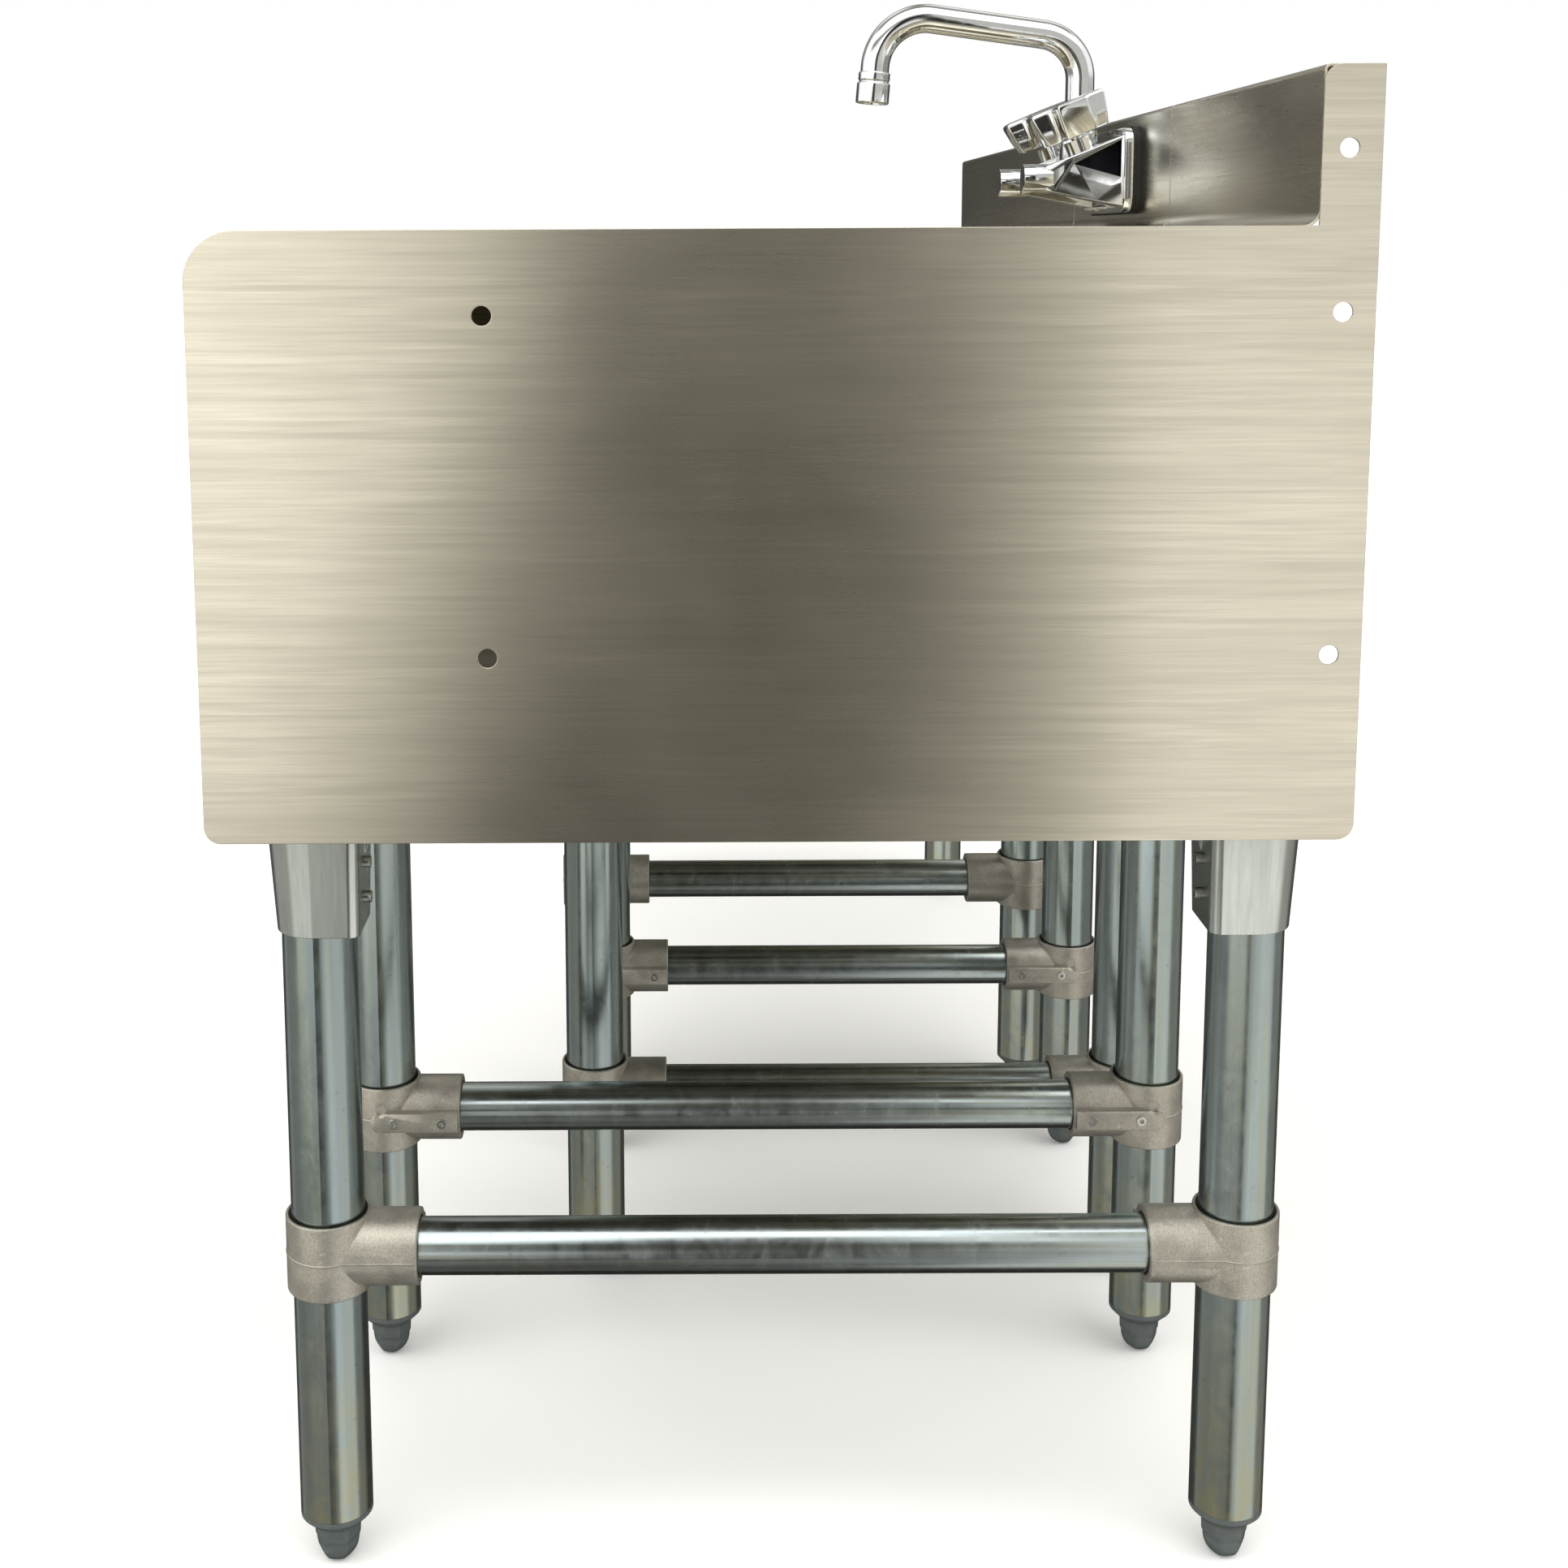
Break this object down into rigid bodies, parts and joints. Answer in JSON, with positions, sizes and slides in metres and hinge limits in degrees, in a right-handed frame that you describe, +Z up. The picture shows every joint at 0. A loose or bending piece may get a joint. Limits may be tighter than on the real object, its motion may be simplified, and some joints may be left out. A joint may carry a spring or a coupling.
{
  "type": "portable handwash sink",
  "caption": "Free-standing stainless bar hand-sink run on tubular legs, with a deep end section, a hand bowl, a wall-mount swivel faucet and a drainboard.",
  "frame": {"origin": "on the floor at the middle of the run's outline", "axes": "+X towards the deep right-hand end section, +Y towards the wall, +Z up"},
  "size_m": [1.255, 0.597, 0.9229],
  "materials": {
    "brushed_stainless": "horizontal brushed grain",
    "galvanised_tube": "smooth zinc plated tube",
    "cast_socket": "as cast, tumbled",
    "grey_plastic": "moulded",
    "zinc_fastener": "zinc plated",
    "chrome_brass": "polished chrome plate",
    "black_rubber": "moulded",
    "bare_brass": "machined",
    "polished_drain": "bright pressed stainless"
  },
  "bodies": {
    "root": {"end_panel_near": "brushed_stainless", "panel_deep_far": "brushed_stainless", "panel_basin_near": "brushed_stainless", "panel_basin_far": "brushed_stainless", "panel_board_near": "brushed_stainless", "end_panel_far": "brushed_stainless", "deep_top": "brushed_stainless", "basin_top": "brushed_stainless", "board_top": "brushed_stainless", "hand_bowl": "brushed_stainless", "gussets_deep": "brushed_stainless", "gussets_basin": "brushed_stainless", "gussets_board": "brushed_stainless", "legs_deep_near": "galvanised_tube", "legs_deep_far": "galvanised_tube", "legs_basin_near": "galvanised_tube", "legs_basin_far": "galvanised_tube", "legs_board_near": "galvanised_tube", "legs_board_far": "galvanised_tube", "brace_deep_near": "galvanised_tube", "brace_deep_far": "galvanised_tube", "brace_basin_near": "galvanised_tube", "brace_basin_far": "galvanised_tube", "brace_board_near": "galvanised_tube", "brace_board_far": "galvanised_tube", "sockets_deep_near": "cast_socket", "sockets_deep_far": "cast_socket", "sockets_basin_near": "cast_socket", "sockets_basin_far": "cast_socket", "sockets_board_near": "cast_socket", "sockets_board_far": "cast_socket", "leg_plugs": "grey_plastic", "set_screws": "zinc_fastener", "section_bolts": "zinc_fastener", "faucet_body": "chrome_brass", "valve_bonnets": "chrome_brass", "spout_nut": "chrome_brass", "faucet_gasket": "black_rubber", "faucet_shanks": "bare_brass", "shank_nuts": "bare_brass", "drain_nut": "bare_brass", "drain_flange": "polished_drain", "drain_tailpiece": "chrome_brass"},
    "spout": {"spout": "chrome_brass", "aerator": "chrome_brass"},
    "handle_cold": {"handle_cold": "chrome_brass"},
    "handle_hot": {"handle_hot": "chrome_brass"},
    "drain_basket": {"drain_basket": "polished_drain"},
    "foot_deep_near_front": {"foot_deep_near_front": "grey_plastic"},
    "foot_deep_near_rear": {"foot_deep_near_rear": "grey_plastic"},
    "foot_deep_far_front": {"foot_deep_far_front": "grey_plastic"},
    "foot_deep_far_rear": {"foot_deep_far_rear": "grey_plastic"},
    "foot_basin_near_front": {"foot_basin_near_front": "grey_plastic"},
    "foot_basin_near_rear": {"foot_basin_near_rear": "grey_plastic"},
    "foot_basin_far_front": {"foot_basin_far_front": "grey_plastic"},
    "foot_basin_far_rear": {"foot_basin_far_rear": "grey_plastic"},
    "foot_board_near_front": {"foot_board_near_front": "grey_plastic"},
    "foot_board_near_rear": {"foot_board_near_rear": "grey_plastic"},
    "foot_board_far_front": {"foot_board_far_front": "grey_plastic"},
    "foot_board_far_rear": {"foot_board_far_rear": "grey_plastic"}
  },
  "joints": [
    {"name": "spout_swivel", "type": "hinge", "parent": "root", "child": "spout", "pos_m": [0.1685, 0.2395, 0.842], "axis": [0, 0, 1], "range_deg": [-90, 90]},
    {"name": "cold_turn", "type": "hinge", "parent": "root", "child": "handle_cold", "pos_m": [0.2195, 0.2332, 0.8125], "axis": [0, -0.3746, 0.9272], "range_deg": [-90, 0]},
    {"name": "hot_turn", "type": "hinge", "parent": "root", "child": "handle_hot", "pos_m": [0.1175, 0.2332, 0.8125], "axis": [0, -0.3746, 0.9272], "range_deg": [0, 90]},
    {"name": "basket_lift", "type": "slide", "parent": "root", "child": "drain_basket", "axis": [0, 0, 1], "range_m": [0, 0.15]},
    {"name": "level_deep_near_front", "type": "slide", "parent": "root", "child": "foot_deep_near_front", "axis": [0, 0, -1], "range_m": [0, 0.02]},
    {"name": "level_deep_near_rear", "type": "slide", "parent": "root", "child": "foot_deep_near_rear", "axis": [0, 0, -1], "range_m": [0, 0.02]},
    {"name": "level_deep_far_front", "type": "slide", "parent": "root", "child": "foot_deep_far_front", "axis": [0, 0, -1], "range_m": [0, 0.02]},
    {"name": "level_deep_far_rear", "type": "slide", "parent": "root", "child": "foot_deep_far_rear", "axis": [0, 0, -1], "range_m": [0, 0.02]},
    {"name": "level_basin_near_front", "type": "slide", "parent": "root", "child": "foot_basin_near_front", "axis": [0, 0, -1], "range_m": [0, 0.02]},
    {"name": "level_basin_near_rear", "type": "slide", "parent": "root", "child": "foot_basin_near_rear", "axis": [0, 0, -1], "range_m": [0, 0.02]},
    {"name": "level_basin_far_front", "type": "slide", "parent": "root", "child": "foot_basin_far_front", "axis": [0, 0, -1], "range_m": [0, 0.02]},
    {"name": "level_basin_far_rear", "type": "slide", "parent": "root", "child": "foot_basin_far_rear", "axis": [0, 0, -1], "range_m": [0, 0.02]},
    {"name": "level_board_near_front", "type": "slide", "parent": "root", "child": "foot_board_near_front", "axis": [0, 0, -1], "range_m": [0, 0.02]},
    {"name": "level_board_near_rear", "type": "slide", "parent": "root", "child": "foot_board_near_rear", "axis": [0, 0, -1], "range_m": [0, 0.02]},
    {"name": "level_board_far_front", "type": "slide", "parent": "root", "child": "foot_board_far_front", "axis": [0, 0, -1], "range_m": [0, 0.02]},
    {"name": "level_board_far_rear", "type": "slide", "parent": "root", "child": "foot_board_far_rear", "axis": [0, 0, -1], "range_m": [0, 0.02]}
  ]
}
